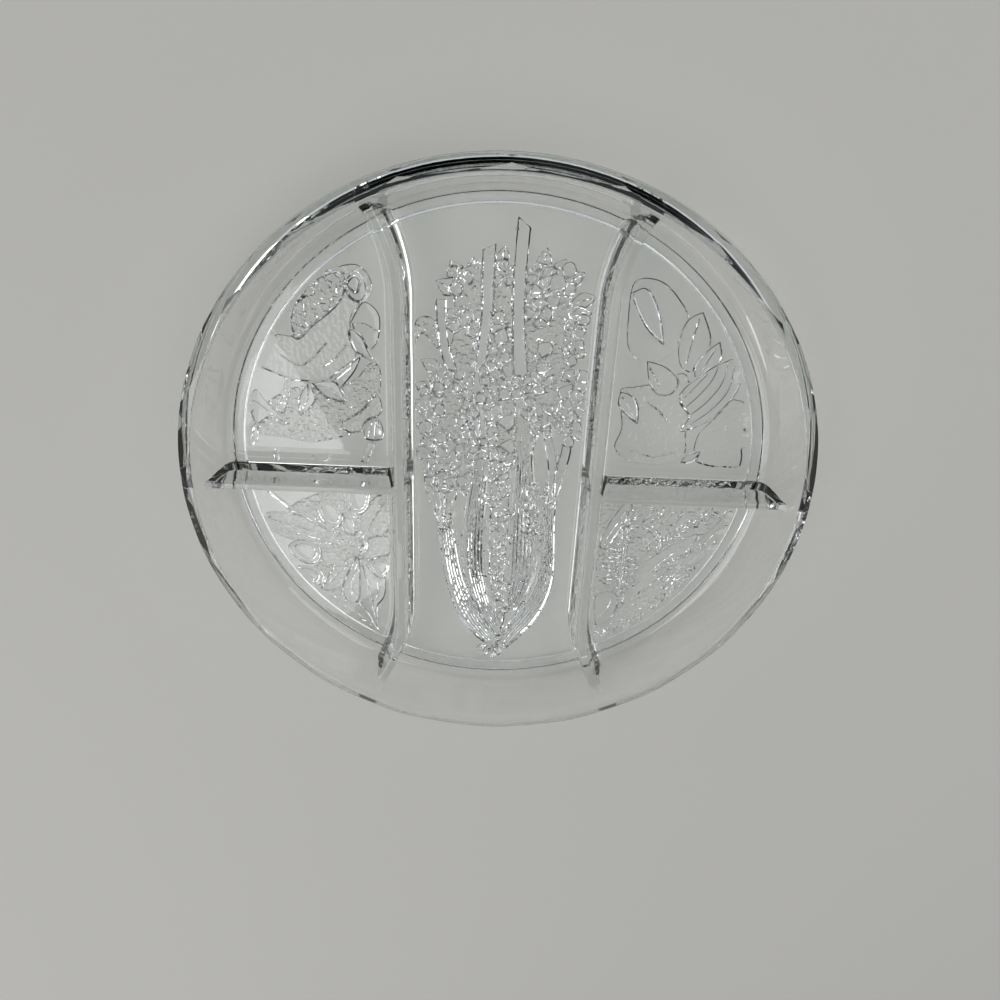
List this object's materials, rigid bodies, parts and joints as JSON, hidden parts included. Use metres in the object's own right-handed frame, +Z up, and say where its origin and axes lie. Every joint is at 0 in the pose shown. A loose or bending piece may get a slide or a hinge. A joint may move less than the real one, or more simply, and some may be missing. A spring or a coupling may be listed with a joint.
{
  "type": "relish tray",
  "caption": "Round shallow pressed glass relish tray: flared wall with a panelled rim, low foot ring, two long and two cross dividers, and vegetables in relief under the floor.",
  "frame": {"origin": "centre of the plane on which the foot ring rests", "axes": "+Z up, +Y along the two long dividers towards the leafy end of the celery relief, +X to the right of the picture"},
  "size_m": [0.318, 0.318, 0.0365],
  "materials": {
    "clear_glass": "fire-polished",
    "thick_glass": "fire-polished",
    "relief_glass": "pressed relief"
  },
  "bodies": {
    "root": {"floor_plate": "clear_glass", "foot_ring": "thick_glass", "side_wall": "clear_glass", "panelled_rim": "thick_glass", "long_divider_left": "thick_glass", "long_divider_right": "thick_glass", "cross_divider_left": "thick_glass", "cross_divider_right": "thick_glass", "celery_relief": "relief_glass", "cucumber_relief": "relief_glass", "onion_relief": "relief_glass", "olive_relief": "relief_glass", "carrot_relief": "relief_glass"}
  },
  "joints": []
}
